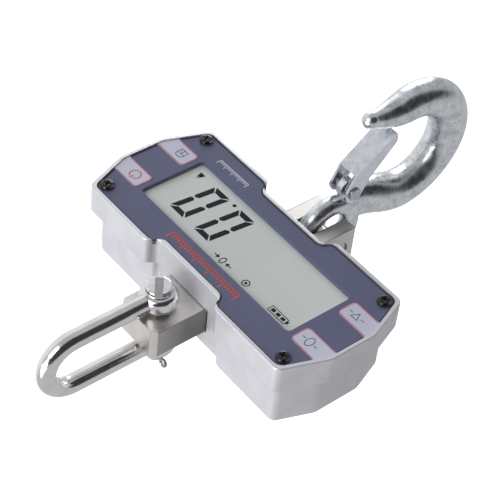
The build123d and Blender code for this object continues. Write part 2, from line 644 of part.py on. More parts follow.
# ---------------------------------------------------------------- battery compartment
HOLDER_GAP = 0.4           # between the holder and the housing's back wall
HOLDER_BACK = BACK_Y - WALL - HOLDER_GAP
HOLDER_ROUND = 2.0
HOLDER_END_WALL = 2.0
HOLDER_SIDE_WALL = 1.2
HOLDER_FLOOR = 1.4
CELL_TIP = (2.7, 1.2)      # radius and height of a cell's positive end
CONTACT = (9.5, 0.5)       # side and thickness of a contact plate
cell_places = [(HOLDER_X, z * CELL_PITCH) for z in (-1, 0, 1)]
CELL_Y = HOLDER_BACK - CELL_RADIUS - 0.6
with BuildPart() as battery_holder:
    with BuildSketch(front(HOLDER_BACK, HEAD_Z, HOLDER_X)):
        RectangleRounded(HOLDER[0], HOLDER[1], HOLDER_ROUND)
    extrude(amount=HOLDER[2])
    with BuildSketch(front(HOLDER_BACK, HEAD_Z, HOLDER_X)):
        Rectangle(HOLDER[0] - 2 * HOLDER_END_WALL, HOLDER[1] - 2 * HOLDER_SIDE_WALL)
    extrude(amount=HOLDER[2] - HOLDER_FLOOR, mode=Mode.SUBTRACT)
save(battery_holder.part, "battery_holder")

with BuildPart() as battery_cells:
    for x, z in cell_places:
        tip = 1 if z == 0 else -1
        with BuildSketch(across(x - CELL_LENGTH / 2, CELL_Y, HEAD_Z + z)):
            Circle(CELL_RADIUS)
        extrude(amount=CELL_LENGTH)
        with BuildSketch(across(x + tip * CELL_LENGTH / 2, CELL_Y, HEAD_Z + z)):
            Circle(CELL_TIP[0])
        extrude(amount=tip * CELL_TIP[1])
save(battery_cells.part, "battery_cells")

with BuildPart() as battery_contacts:
    for x, z in cell_places:
        for end in (-1, 1):
            against_wall = x + end * (HOLDER[0] / 2 - HOLDER_END_WALL)
            with BuildSketch(across(against_wall, CELL_Y, HEAD_Z + z)):
                Rectangle(CONTACT[0], CONTACT[0])
            extrude(amount=-end * CONTACT[1])
save(battery_contacts.part, "battery_contacts")

DOOR_EDGE = 0.5
DOOR_HOLE = 1.6
DOOR_SEAT = (2.9, 0.9)     # radius and depth
DOOR_SCREW_HEAD = (2.75, 1.2)
DOOR_SCREW_SHANK = (1.45, 6.0)
DOOR_CROSS = (3.4, 0.7)
DOOR_CROSS_DEPTH = 0.7
with BuildPart() as battery_door:
    with BuildSketch(front(BACK_Y, HEAD_Z, HOLDER_X)):
        RectangleRounded(*DOOR, DOOR_ROUND)
    extrude(amount=DOOR_THICK)
    fillet(edges().group_by(Axis.Y)[-1], DOOR_EDGE)
    with BuildSketch(front(BACK_Y)):
        with Locations(*door_screw_places):
            Circle(DOOR_HOLE)
    extrude(amount=DOOR_THICK, mode=Mode.SUBTRACT)
    with BuildSketch(front(BACK_Y)):
        with Locations(*door_screw_places):
            Circle(DOOR_SEAT[0])
    extrude(amount=DOOR_SEAT[1], mode=Mode.SUBTRACT)
save(battery_door.part, "battery_door")

with BuildPart() as battery_door_screws:
    with BuildSketch(front(BACK_Y - DOOR_SEAT[1])):
        with Locations(*door_screw_places):
            Circle(DOOR_SCREW_HEAD[0])
    extrude(amount=-DOOR_SCREW_HEAD[1])
    fillet(edges().group_by(Axis.Y)[-1], DOOR_EDGE)
    with BuildSketch(front(BACK_Y - DOOR_SEAT[1])):
        with Locations(*door_screw_places):
            Circle(DOOR_SCREW_SHANK[0])
    extrude(amount=DOOR_SCREW_SHANK[1])
    for x, z in door_screw_places:
        with BuildSketch(front(BACK_Y - DOOR_SEAT[1] + DOOR_SCREW_HEAD[1], HEAD_Z + z, x)):
            Rectangle(*DOOR_CROSS)
            Rectangle(*reversed(DOOR_CROSS))
        extrude(amount=DOOR_CROSS_DEPTH, mode=Mode.SUBTRACT)
save(battery_door_screws.part, "battery_door_screws")

# ---------------------------------------------------------------- hook
BOWL_SECTIONS = [(BOWL_START, 11.0), (-pi / 2, 10.4), (0.0, 11.2), (pi / 2, 9.0)]  # angle, radius
DEEPER = 1.02              # how much deeper than thick a section is
SHANK_START = (15.5, 0.0)
SHANK_LEAD = (8.0, 10.0)
SHANK_THICK = 5.3
SHANK_DEEP = 11.4
SHANK_STEPS = 4
BOWL_STEPS = 12
POINT_STEPS = 4
LUG_ROOT = ((16.0, 2.0), (17.9, PIVOT[1] + 1), (29.0, PIVOT[1] - 1), (34.0, -4.0))
LUG_RADIUS = 5.6
DOWN = Vector(0, -sin(HOOK_TILT), -cos(HOOK_TILT))
FORWARD = Vector(0, -cos(HOOK_TILT), sin(HOOK_TILT))
EYE_CENTRE = Vector(0, 0, HOOK_PIN_Z) + DOWN * EYE_CENTRE_DROP


def hook_point(a, b):
    """Point in the hook's middle plane, a down the shank and b towards the point."""
    return EYE_CENTRE + DOWN * a + FORWARD * b


def hook_plane(side=0.0):
    """Plane of the hook's side view, moved sideways by side."""
    return Plane(origin=EYE_CENTRE + Vector(-side, 0, 0), x_dir=DOWN, z_dir=(-1, 0, 0))


def hook_section(a, b, turn_a, turn_b, half_thick, half_deep):
    """Oval cut square to the hook's centre line at (a, b), which runs along (turn_a, turn_b)."""
    along = DOWN * turn_a + FORWARD * turn_b
    with BuildSketch(Plane(origin=hook_point(a, b), x_dir=(1, 0, 0), z_dir=along)) as cut:
        Ellipse(half_thick, half_deep)
    return cut.sketch


def bowl_radius(angle):
    """Radius of the hook's section around the bowl, thickest under the load."""
    for (low, first), (high, second) in zip(BOWL_SECTIONS, BOWL_SECTIONS[1:]):
        if angle <= high:
            blend = (1 - cos(pi * (angle - low) / (high - low))) / 2
            return first + (second - first) * blend
    return BOWL_SECTIONS[-1][1]


def shank_sections():
    """Sections from the eye to the bowl, along a curve that leaves the eye straight down."""
    end = (BOWL_A + BOWL_RADIUS * cos(BOWL_START), BOWL_RADIUS * sin(BOWL_START))
    end_turn = (-sin(BOWL_START), cos(BOWL_START))
    after_start = (SHANK_START[0] + SHANK_LEAD[0], SHANK_START[1])
    before_end = (end[0] - SHANK_LEAD[1] * end_turn[0], end[1] - SHANK_LEAD[1] * end_turn[1])
    controls = (SHANK_START, after_start, before_end, end)
    end_radius = bowl_radius(BOWL_START)
    cuts = []
    for step in range(SHANK_STEPS):
        f = step / SHANK_STEPS
        weights = ((1 - f) ** 3, 3 * f * (1 - f) ** 2, 3 * f ** 2 * (1 - f), f ** 3)
        slopes = (-(1 - f) ** 2, (1 - f) ** 2 - 2 * f * (1 - f), 2 * f * (1 - f) - f ** 2, f ** 2)
        a, b = (sum(w * point[i] for w, point in zip(weights, controls)) for i in (0, 1))
        turn_a, turn_b = (sum(w * point[i] for w, point in zip(slopes, controls)) for i in (0, 1))
        ease = (1 - cos(pi * f)) / 2
        half_thick = SHANK_THICK + (end_radius - SHANK_THICK) * ease
        half_deep = SHANK_DEEP + (DEEPER * end_radius - SHANK_DEEP) * ease
        cuts.append(hook_section(a, b, turn_a, turn_b, half_thick, half_deep))
    return cuts


sections = shank_sections()
for step in range(BOWL_STEPS + 1):
    angle = BOWL_START + (BOWL_END - BOWL_START) * step / BOWL_STEPS
    a = BOWL_A + BOWL_RADIUS * cos(angle)
    b = BOWL_RADIUS * sin(angle)
    radius = bowl_radius(angle)
    sections.append(hook_section(a, b, -sin(angle), cos(angle), radius, DEEPER * radius))
radius_at_end = bowl_radius(BOWL_END)
point_sections = [sections[-1]]
for step in range(1, POINT_STEPS + 1):
    part_way = step / POINT_STEPS
    along = POINT_LENGTH * part_way
    out = POINT_FLARE * part_way ** 2
    lean = 2 * POINT_FLARE * part_way / POINT_LENGTH
    a = BOWL_A + (BOWL_RADIUS + out) * cos(BOWL_END) - along * sin(BOWL_END)
    b = (BOWL_RADIUS + out) * sin(BOWL_END) + along * cos(BOWL_END)
    turn_a = -sin(BOWL_END) + lean * cos(BOWL_END)
    turn_b = cos(BOWL_END) + lean * sin(BOWL_END)
    radius = radius_at_end + (POINT_RADIUS - radius_at_end) * part_way ** POINT_TAPER
    point_sections.append(hook_section(a, b, turn_a, turn_b, radius, DEEPER * radius))

with BuildPart() as hook:
    loft(sections)
    loft(point_sections)
    with Locations(hook_point(a, b)):
        Sphere(NOSE_RADIUS)
    with BuildSketch(Plane(origin=hook_point(-EYE_RING, 0), x_dir=(1, 0, 0), z_dir=FORWARD)):
        Circle(EYE_WIRE)
    revolve(axis=Axis(EYE_CENTRE, (1, 0, 0)))
    with BuildSketch(hook_plane(-LUG_HALF)):
        with BuildLine():
            Polyline(*LUG_ROOT, close=True)
        make_face()
        with Locations(PIVOT):
            Circle(LUG_RADIUS)
    extrude(amount=2 * LUG_HALF)
    with BuildSketch(hook_plane(-LUG_HALF)):
        with Locations(PIVOT):
            Circle(RIVET_RADIUS)
    extrude(amount=2 * LUG_HALF, mode=Mode.SUBTRACT)
save(hook.part, "hook")

RIVET_HEAD = (4.0, 1.3)    # radius and height
RIVET_HEAD_ROUND = 0.7
with BuildPart() as latch_rivet:
    with BuildSketch(hook_plane(-LATCH_HALF)):
        with Locations(PIVOT):
            Circle(RIVET_RADIUS)
    extrude(amount=2 * LATCH_HALF)
    for side in (1, -1):
        with BuildSketch(hook_plane(side * LATCH_HALF)):
            with Locations(PIVOT):
                Circle(RIVET_HEAD[0])
        extrude(amount=side * RIVET_HEAD[1])
    fillet(edges().group_by(Axis.X)[0] + edges().group_by(Axis.X)[-1], RIVET_HEAD_ROUND)
save(latch_rivet.part, "latch_rivet")

LATCH_TOP = ((30.0, 26.0), (62.2, 27.0))
LATCH_CHEEK = ((62.0, 24.6), (59.6, 20.8), (34.9, 15.2), (25.0, 10.2), (21.0, 21.2))
LATCH_EYE = 6.0
LATCH_OPEN = (10.0, 70.0)  # along the shank, past both ends of the latch
with BuildPart() as latch:
    with BuildSketch(hook_plane(-LATCH_HALF)):
        with BuildLine():
            Polyline(*LATCH_TOP, *LATCH_CHEEK, close=True)
        make_face()
        with Locations(PIVOT):
            Circle(LATCH_EYE)
    extrude(amount=2 * LATCH_HALF)
    with BuildSketch(hook_plane(-LATCH_HALF + LATCH_SHEET)):
        with BuildLine():
            Polyline(
                (LATCH_OPEN[0], 30.0),
                (LATCH_TOP[0][0] - 0.4, 30.0),
                (LATCH_TOP[0][0], LATCH_TOP[0][1] - LATCH_SHEET),
                (LATCH_OPEN[1], LATCH_TOP[1][1] + 0.3 - LATCH_SHEET),
                (LATCH_OPEN[1], 0.0),
                (LATCH_OPEN[0], 0.0),
                close=True,
            )
        make_face()
    extrude(amount=2 * (LATCH_HALF - LATCH_SHEET), mode=Mode.SUBTRACT)
    with BuildSketch(hook_plane(-LATCH_HALF)):
        with Locations(PIVOT):
            Circle(RIVET_RADIUS + RUNNING_FIT)
    extrude(amount=2 * LATCH_HALF, mode=Mode.SUBTRACT)
save(latch.part, "latch")

SPRING_TURNS = 2
SPRING_PITCH = 1.05
SPRING_START = LUG_HALF + 0.7
SPRING_LEGS = (            # how far out each leg is, and its two ends
    (SPRING_START, (PIVOT[0], PIVOT[1] + SPRING_COIL), (37.0, 24.0)),
    (SPRING_START + SPRING_TURNS * SPRING_PITCH, (PIVOT[0] - SPRING_COIL, PIVOT[1]), (19.3, 10.8)),
)
with BuildPart() as latch_spring:
    for side in (1, -1):
        coil_start = hook_point(*PIVOT) + Vector(side * SPRING_START, 0, 0)
        coil_width = SPRING_TURNS * SPRING_PITCH
        with BuildLine() as coil_line:
            Helix(SPRING_PITCH, coil_width, SPRING_COIL, center=coil_start, direction=(side, 0, 0))
        with BuildSketch(Plane(origin=coil_line.line @ 0, z_dir=coil_line.line % 0)):
            Circle(SPRING_WIRE)
        sweep(path=coil_line.line)
        for leg_x, leg_start, leg_end in SPRING_LEGS:
            foot = hook_point(*leg_start) + Vector(side * leg_x, 0, 0)
            tip = hook_point(*leg_end) + Vector(side * leg_x, 0, 0)
            with BuildSketch(Plane(origin=foot, z_dir=tip - foot)):
                Circle(SPRING_WIRE)
            extrude(amount=(tip - foot).length)
save(latch_spring.part, "latch_spring")
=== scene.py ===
"""Looks of a hanging crane scale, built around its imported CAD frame. All lengths are in metres."""
from math import cos, radians, sin

import bmesh
import bpy
from mathutils import Matrix, Vector


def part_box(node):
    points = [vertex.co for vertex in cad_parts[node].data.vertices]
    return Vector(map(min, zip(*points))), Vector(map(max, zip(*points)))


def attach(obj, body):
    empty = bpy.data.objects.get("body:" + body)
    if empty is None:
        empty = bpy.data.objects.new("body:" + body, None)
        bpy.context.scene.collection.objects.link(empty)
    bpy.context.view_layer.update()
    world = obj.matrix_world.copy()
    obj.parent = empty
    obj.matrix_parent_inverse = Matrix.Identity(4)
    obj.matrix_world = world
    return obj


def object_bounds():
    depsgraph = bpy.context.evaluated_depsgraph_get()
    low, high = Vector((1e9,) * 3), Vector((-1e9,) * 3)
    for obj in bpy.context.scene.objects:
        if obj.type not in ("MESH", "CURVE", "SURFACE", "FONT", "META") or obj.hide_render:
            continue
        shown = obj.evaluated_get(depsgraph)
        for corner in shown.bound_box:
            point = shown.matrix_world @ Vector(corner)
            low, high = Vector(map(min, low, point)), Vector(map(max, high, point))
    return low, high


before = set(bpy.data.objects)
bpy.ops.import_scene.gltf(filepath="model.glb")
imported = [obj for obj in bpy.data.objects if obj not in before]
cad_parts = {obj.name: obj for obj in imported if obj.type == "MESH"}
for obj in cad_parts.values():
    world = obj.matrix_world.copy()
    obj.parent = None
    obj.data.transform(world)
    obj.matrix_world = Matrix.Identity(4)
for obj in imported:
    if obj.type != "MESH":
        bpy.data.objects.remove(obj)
cad_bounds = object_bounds()
MM = 0.001

# ---------------------------------------------------------------- places taken from the frame
panel_low, panel_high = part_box("front_panel")
HEAD_Z = (panel_low.z + panel_high.z) / 2
PANEL_Y = panel_low.y
GLASS_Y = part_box("lcd_glass")[0].y
RIM_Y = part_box("housing")[0].y
PIN_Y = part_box("shackle_pin")[0].y


# ---------------------------------------------------------------- materials
class Finish:
    """A procedural material around one Principled shader. Sizes are in metres on the object."""

    def __init__(self, name, colour, metallic=0.0, roughness=0.5, **sockets):
        self.material = bpy.data.materials.new(name)
        self.material.use_nodes = True
        self.nodes = self.material.node_tree.nodes
        self.links = self.material.node_tree.links
        self.shader = self.nodes["Principled BSDF"]
        self.shader.inputs["Base Color"].default_value = (*colour, 1)
        self.shader.inputs["Metallic"].default_value = metallic
        self.shader.inputs["Roughness"].default_value = roughness
        for socket, value in sockets.items():
            self.shader.inputs[socket.replace("_", " ")].default_value = value
        self.place = self.nodes.new("ShaderNodeTexCoord").outputs["Object"]
        self.normal = None

    def link(self, value, socket):
        """Puts a number, colour or output on a socket."""
        if isinstance(value, bpy.types.NodeSocket):
            self.links.new(value, socket)
        else:
            socket.default_value = value

    def stretched(self, stretch):
        """Object coordinates scaled by stretch along X, Y and Z."""
        mapping = self.nodes.new("ShaderNodeMapping")
        mapping.inputs["Scale"].default_value = stretch
        self.links.new(self.place, mapping.inputs["Vector"])
        return mapping.outputs["Vector"]

    def noise(self, size, detail=3.0, rough=0.5, twist=0.0, stretch=None):
        """Cloudy noise whose blobs are about size across."""
        noise = self.nodes.new("ShaderNodeTexNoise")
        self.links.new(self.stretched(stretch) if stretch else self.place, noise.inputs["Vector"])
        noise.inputs["Scale"].default_value = 1 / size
        noise.inputs["Detail"].default_value = detail
        noise.inputs["Roughness"].default_value = rough
        noise.inputs["Distortion"].default_value = twist
        return noise.outputs["Fac"]

    def axis(self, name):
        """One object coordinate."""
        split = self.nodes.new("ShaderNodeSeparateXYZ")
        self.links.new(self.place, split.inputs["Vector"])
        return split.outputs[name]

    def spread(self, value, low, high, to_low=0.0, to_high=1.0):
        """Value mapped from low..high to to_low..to_high, held at the ends."""
        spread = self.nodes.new("ShaderNodeMapRange")
        names = ("Value", "From Min", "From Max", "To Min", "To Max")
        for name, number in zip(names, (value, low, high, to_low, to_high)):
            self.link(number, spread.inputs[name])
        return spread.outputs["Result"]

    def math(self, kind, first, second=0.0):
        """Arithmetic on two values."""
        node = self.nodes.new("ShaderNodeMath")
        node.operation = kind
        self.link(first, node.inputs[0])
        self.link(second, node.inputs[1])
        return node.outputs["Value"]

    def mix(self, amount, first, second):
        """Colour between first and second."""
        node = self.nodes.new("ShaderNodeMix")
        node.data_type = "RGBA"
        self.link(amount, node.inputs["Factor"])
        for name, colour in (("A", first), ("B", second)):
            colour = colour if isinstance(colour, bpy.types.NodeSocket) else (*colour, 1)
            self.link(colour, next(s for s in node.inputs if s.name == name and s.type == "RGBA"))
        return next(s for s in node.outputs if s.type == "RGBA")

    def worn_and_lit_edges(self):
        """One on sharp outer edges, zero elsewhere; edges are painted lighter with it, partly as wear and
        partly as a painted highlight.
        """
        geometry = self.nodes.new("ShaderNodeNewGeometry")
        return self.spread(geometry.outputs["Pointiness"], 0.52, 0.60)

    def paint(self, colour):
        """Sets the base colour."""
        self.link(colour, self.shader.inputs["Base Color"])

    def gloss(self, roughness):
        """Sets the roughness."""
        self.link(roughness, self.shader.inputs["Roughness"])

    def bump(self, height, depth, strength):
        """Adds surface relief of the given depth in metres."""
        bump = self.nodes.new("ShaderNodeBump")
        bump.inputs["Distance"].default_value = depth
        bump.inputs["Strength"].default_value = strength
        self.links.new(height, bump.inputs["Height"])
        if self.normal:
            self.links.new(self.normal, bump.inputs["Normal"])
        self.normal = bump.outputs["Normal"]
        self.links.new(self.normal, self.shader.inputs["Normal"])


def tint(colour, factor):
    """Colour made darker or lighter."""
    return tuple(min(1.0, part * factor) for part in colour)


RIM_DEPTH = (0.5 * MM, 0.9 * MM)     # the machined rim ends between these depths


def cast_alloy():
    """Bead-blasted cast alloy with a brighter, smoother machined rim."""
    colour = (0.62, 0.62, 0.66)
    made = Finish("cast_alloy", colour, metallic=0.55, roughness=0.42)
    rim = made.spread(made.axis("Y"), RIM_Y + RIM_DEPTH[1], RIM_Y + RIM_DEPTH[0])
    clouds = made.noise(14 * MM, detail=4)
    grain = made.noise(0.55 * MM, detail=5, rough=0.65)
    body = made.mix(made.spread(clouds, 0.35, 0.65), tint(colour, 0.94), tint(colour, 1.05))
    body = made.mix(made.spread(grain, 0.45, 0.75, 0, 0.35), body, tint(colour, 0.80))
    # sharp edges painted lighter: edge wear and a painted highlight
    edge_wear_and_highlight = made.math("MULTIPLY", made.worn_and_lit_edges(), 0.45)
    body = made.mix(edge_wear_and_highlight, body, (0.85, 0.85, 0.88))
    made.paint(made.mix(rim, body, (0.72, 0.72, 0.77)))
    made.gloss(made.spread(rim, 0, 1, made.spread(grain, 0.3, 0.7, 0.36, 0.50), 0.34))
    made.bump(made.noise(2.4 * MM, detail=3), 0.05 * MM, 0.5)
    made.bump(grain, 0.06 * MM, 0.55)
    return made.material


def polished_steel():
    """Bright drawn rod with faint lengthwise rub marks."""
    made = Finish("polished_steel", (0.70, 0.69, 0.70), metallic=1.0, roughness=0.14)
    rubs = made.noise(0.5 * MM, detail=4, stretch=(1, 1, 0.06))
    clouds = made.noise(9 * MM, detail=3)
    made.paint(made.mix(made.spread(clouds, 0.3, 0.7), (0.66, 0.65, 0.66), (0.76, 0.75, 0.76)))
    made.gloss(made.spread(rubs, 0.35, 0.7, 0.11, 0.24))
    made.bump(rubs, 0.012 * MM, 0.5)
    made.bump(made.noise(7 * MM, detail=2), 0.09 * MM, 0.5)
    return made.material


SLOT_WALL = (0.5 * MM, 0.9 * MM)     # depths in the pin's head between which its slot is painted dark as shade
SLOT_FLOOR = (1.85 * MM, 2.25 * MM)  # depths between which the painted shade ends


def slotted_pin():
    """Bright turned pin, with painted shade in its slot and below the rim of its head."""
    made = Finish("slotted_pin", (0.72, 0.71, 0.72), metallic=1.0, roughness=0.16)
    clouds = made.noise(3 * MM, detail=4)
    shade = made.mix(made.spread(clouds, 0.3, 0.7), (0.68, 0.67, 0.68), (0.80, 0.79, 0.80))
    depth = made.math("SUBTRACT", made.axis("Y"), PIN_Y)
    sunk = made.spread(depth, *SLOT_WALL)
    below = made.spread(depth, SLOT_FLOOR[1], SLOT_FLOOR[0])
    # the slot and the head below its rim are painted dark: painted shade
    made.paint(made.mix(made.math("MULTIPLY", sunk, below), shade, (0.13, 0.13, 0.135)))
    made.gloss(made.spread(made.noise(0.4 * MM, detail=4), 0.3, 0.7, 0.12, 0.24))
    made.bump(clouds, 0.03 * MM, 0.5)
    return made.material


SIDE_X = 14.7 * MM         # the bar's two side faces, painted dark as shade, lie just past this
SIDE_BLEND = 0.15 * MM
BAR_SHADE_LIGHTEST = 66 * MM         # how far above and below the head's middle the painted shade on the bar's side faces is lightest
BAR_SHADE_DARKEST = 46 * MM        # and darkest, where the bar goes into the housing


def satin_nickel():
    """Machined steel bar under satin nickel plate, brushed along its length, with side faces painted dark
    as shade, darkest where the bar goes into the housing.
    """
    made = Finish("satin_nickel", (0.56, 0.53, 0.49), metallic=1.0, roughness=0.34)
    brushed = made.noise(0.32 * MM, detail=4, stretch=(1, 1, 0.035))
    clouds = made.noise(6 * MM, detail=4)
    shade = made.mix(made.spread(clouds, 0.3, 0.7), (0.60, 0.58, 0.54), (0.70, 0.675, 0.64))
    # painted shade: the side faces are darkened, more so towards the housing
    side = made.spread(made.math("ABSOLUTE", made.axis("X")), SIDE_X, SIDE_X + SIDE_BLEND)
    from_middle = made.math("ABSOLUTE", made.math("SUBTRACT", made.axis("Z"), HEAD_Z))
    inward = made.spread(from_middle, BAR_SHADE_LIGHTEST, BAR_SHADE_DARKEST)
    shade = made.mix(side, shade, made.mix(inward, (0.33, 0.315, 0.295), (0.10, 0.097, 0.092)))
    # sharp edges painted lighter: edge wear and a painted highlight
    made.paint(made.mix(made.math("MULTIPLY", made.worn_and_lit_edges(), 0.5), shade, (0.82, 0.80, 0.77)))
    made.gloss(made.spread(brushed, 0.3, 0.7, 0.27, 0.43))
    made.bump(brushed, 0.02 * MM, 0.5)
    return made.material


def forged_zinc(name, colour, relief):
    """Zinc plate over forged or pressed steel: mottled, bluish, with small hammer marks and a painted
    highlight on its sharp edges.
    """
    made = Finish(name, colour, metallic=1.0, roughness=0.28)
    mottle = made.noise(5.5 * MM, detail=6, rough=0.62, twist=0.6)
    spots = made.noise(1.6 * MM, detail=4, rough=0.6)
    shade = made.mix(made.spread(mottle, 0.35, 0.66), tint(colour, 0.72), tint(colour, 1.14))
    shade = made.mix(made.spread(spots, 0.52, 0.70, 0, 0.65), shade, tint(colour, 0.55))
    # sharp edges painted light: a painted highlight
    made.paint(made.mix(made.math("MULTIPLY", made.worn_and_lit_edges(), 0.5), shade, (0.86, 0.88, 0.90)))
    made.gloss(made.spread(mottle, 0.3, 0.7, 0.20, 0.40))
    made.bump(made.noise(8 * MM, detail=3), relief, 0.7)
    made.bump(spots, 0.05 * MM, 0.5)
    return made.material


def plain_steel(name, colour, roughness):
    """Small plated parts with a fine grain."""
    made = Finish(name, colour, metallic=1.0, roughness=roughness)
    fine = made.noise(0.3 * MM, detail=4)
    clouds = made.spread(made.noise(2 * MM), 0.3, 0.7)
    made.paint(made.mix(clouds, tint(colour, 0.85), tint(colour, 1.12)))
    made.gloss(made.spread(fine, 0.3, 0.7, roughness * 0.8, roughness * 1.3))
    made.bump(fine, 0.01 * MM, 0.4)
    return made.material


def black_screw():
    """Glossy black plated screw with painted glints, bright, on the edges of its cross."""
    made = Finish("black_screw", (0.012, 0.012, 0.013), metallic=0.85, roughness=0.16, Coat_Weight=0.4)
    # the edges of the cross are painted bright: painted glints
    painted_glint = made.math("MULTIPLY", made.worn_and_lit_edges(), 0.8)
    made.paint(made.mix(painted_glint, (0.022, 0.022, 0.024), (0.75, 0.73, 0.70)))
    fine = made.noise(0.4 * MM, detail=4)
    made.gloss(made.spread(fine, 0.3, 0.7, 0.12, 0.26))
    made.bump(fine, 0.012 * MM, 0.4)
    return made.material


def printed_film(name, colour, roughness=0.46):
    """Matt printed film with a fine even grain."""
    made = Finish(name, colour, roughness=roughness, Specular_IOR_Level=0.35)
    grain = made.noise(0.35 * MM, detail=3, rough=0.7)
    clouds = made.noise(30 * MM, detail=2)
    shade = made.mix(made.spread(clouds, 0.3, 0.7), tint(colour, 0.97), tint(colour, 1.03))
    made.paint(made.mix(made.spread(grain, 0.35, 0.75, 0, 0.10), shade, tint(colour, 1.45)))
    made.gloss(made.spread(grain, 0.3, 0.7, roughness - 0.05, roughness + 0.08))
    made.bump(grain, 0.012 * MM, 0.35)
    return made.material


def display_face():
    """Display with its polarising film: pale, slightly green, softly glossy."""
    colour = (0.70, 0.735, 0.705)
    made = Finish("display_face", colour, roughness=0.30, Specular_IOR_Level=0.30)
    clouds = made.noise(45 * MM, detail=2)
    made.paint(made.mix(made.spread(clouds, 0.3, 0.7), tint(colour, 0.97), tint(colour, 1.03)))
    grain = made.noise(0.2 * MM, detail=2)
    made.gloss(made.spread(grain, 0.3, 0.7, 0.27, 0.34))
    made.bump(grain, 0.004 * MM, 0.3)
    return made.material


def moulded(name, colour, roughness=0.55):
    """Moulded resin or rubber with a fine spark-eroded grain."""
    made = Finish(name, colour, roughness=roughness)
    grain = made.noise(0.3 * MM, detail=4, rough=0.6)
    made.paint(made.mix(made.spread(grain, 0.3, 0.7), tint(colour, 0.85), tint(colour, 1.2)))
    made.gloss(made.spread(grain, 0.3, 0.7, roughness - 0.06, roughness + 0.1))
    made.bump(grain, 0.02 * MM, 0.5)
    return made.material


CAD_FINISHES = {
    "housing": cast_alloy(),
    "shackle": polished_steel(),
    "pin": slotted_pin(),
    "cell": satin_nickel(),
    "hook": forged_zinc("forged_zinc", (0.68, 0.71, 0.74), 0.30 * MM),
    "latch": forged_zinc("pressed_zinc", (0.53, 0.56, 0.66), 0.08 * MM),
    # the wire is painted darker than bright steel: painted shade
    "wire": plain_steel("bright_wire", (0.34, 0.34, 0.35), 0.22),
    "ground": plain_steel("ground_steel", (0.50, 0.50, 0.51), 0.25),
    "small": plain_steel("small_steel", (0.62, 0.61, 0.60), 0.28),
    "screw": black_screw(),
    "panel": printed_film("panel_film", (0.125, 0.138, 0.232)),
    "key": printed_film("key_film", (0.63, 0.64, 0.78), 0.40),
    "display": display_face(),
    "frame": moulded("display_frame", (0.16, 0.18, 0.30), 0.5),
    "rubber": moulded("seal_rubber", (0.035, 0.035, 0.04), 0.6),
    "resin": moulded("dark_resin", (0.02, 0.02, 0.022), 0.45),
    "board": moulded("board_mask", (0.02, 0.16, 0.06), 0.35),
    "acrylic": moulded("light_guide", (0.80, 0.84, 0.86), 0.25),
    "brass": plain_steel("turned_brass", (0.72, 0.53, 0.24), 0.25),
    "foil": moulded("gauge_foil", (0.55, 0.33, 0.10), 0.35),
    "jacket": moulded("cell_jacket", (0.05, 0.06, 0.08), 0.3),
    "door": printed_film("door_paint", (0.52, 0.52, 0.55), 0.42),
}
NODE_FINISH = {
    "housing": "housing", "shackle_bow": "shackle", "shackle_pin": "pin", "split_pin": "wire",
    "load_cell": "cell", "hook_pin": "ground", "pin_set_screw": "screw", "strain_gauges": "foil",
    "load_cell_screws": "screw", "upper_seal": "rubber", "lower_seal": "rubber", "front_panel": "panel",
    "panel_gasket": "rubber", "panel_screws": "screw", "power_key": "key", "light_key": "key",
    "zero_key": "key", "tare_key": "key", "lcd_glass": "display", "backlight": "acrylic",
    "lcd_frame": "frame", "circuit_board": "board", "board_standoffs": "brass", "board_screws": "small",
    "board_chips": "resin", "buzzer": "resin", "key_switches": "resin", "battery_holder": "resin",
    "battery_cells": "jacket", "battery_contacts": "small", "battery_door": "door",
    "battery_door_screws": "small", "hook": "hook", "latch": "latch", "latch_rivet": "latch",
    "latch_spring": "wire",
}
for node, finish in NODE_FINISH.items():
    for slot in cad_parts[node].material_slots:
        slot.material = CAD_FINISHES[finish]

# ---------------------------------------------------------------- printing on the panel, keys and display
INK = 0.05 * MM            # how far print stands out of its surface
INK_ROOT = 0.02 * MM       # how far it reaches in
CURVE_STEPS = 10           # corners of a rounded part of a line
RING_POINTS = 24
DOT_POINTS = 12
SHARPEST = 0.4             # keeps the mitre of a sharp corner short


def ink(name, colour, roughness=0.45):
    """Printing ink with slightly uneven cover."""
    made = Finish(name, colour, roughness=roughness, Specular_IOR_Level=0.3)
    cover = made.noise(0.5 * MM, detail=3)
    made.paint(made.mix(made.spread(cover, 0.3, 0.7), tint(colour, 0.9), tint(colour, 1.12)))
    made.gloss(made.spread(cover, 0.3, 0.7, roughness - 0.05, roughness + 0.08))
    made.bump(cover, 0.006 * MM, 0.3)
    return made.material


RED_INK = ink("red_ink", (0.60, 0.075, 0.10))
PINK_INK = ink("pink_ink", (0.62, 0.24, 0.32))
ORANGE_INK = ink("orange_ink", (0.66, 0.115, 0.075))
WHITE_INK = ink("white_ink", (0.80, 0.80, 0.90))
GREY_INK = ink("grey_ink", (0.10, 0.10, 0.14))
SEGMENT_INK = ink("segment_ink", (0.006, 0.008, 0.020), 0.6)


def stamp(name, shapes, face_y, material, body):
    """Flat printed shapes on a face that looks along -Y.

    Each shape is a closed outline of (x, z) points in millimetres about the head's middle.
    """
    mesh = bpy.data.meshes.new(name)
    build = bmesh.new()
    for shape in shapes:
        points = [(x * MM, HEAD_Z + z * MM) for x, z in shape]
        near = [build.verts.new((x, face_y - INK, z)) for x, z in points]
        far = [build.verts.new((x, face_y + INK_ROOT, z)) for x, z in points]
        build.faces.new(near)
        build.faces.new(far[::-1])
        for i, corner in enumerate(near):
            build.faces.new((near[i - 1], corner, far[i], far[i - 1]))
    bmesh.ops.recalc_face_normals(build, faces=build.faces)
    build.to_mesh(mesh)
    build.free()
    piece = bpy.data.objects.new(name, mesh)
    bpy.context.scene.collection.objects.link(piece)
    mesh.materials.append(material)
    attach(piece, body)


def rectangle(left, right, low, high):
    """Outline of an upright rectangle."""
    return [(left, low), (right, low), (right, high), (left, high)]


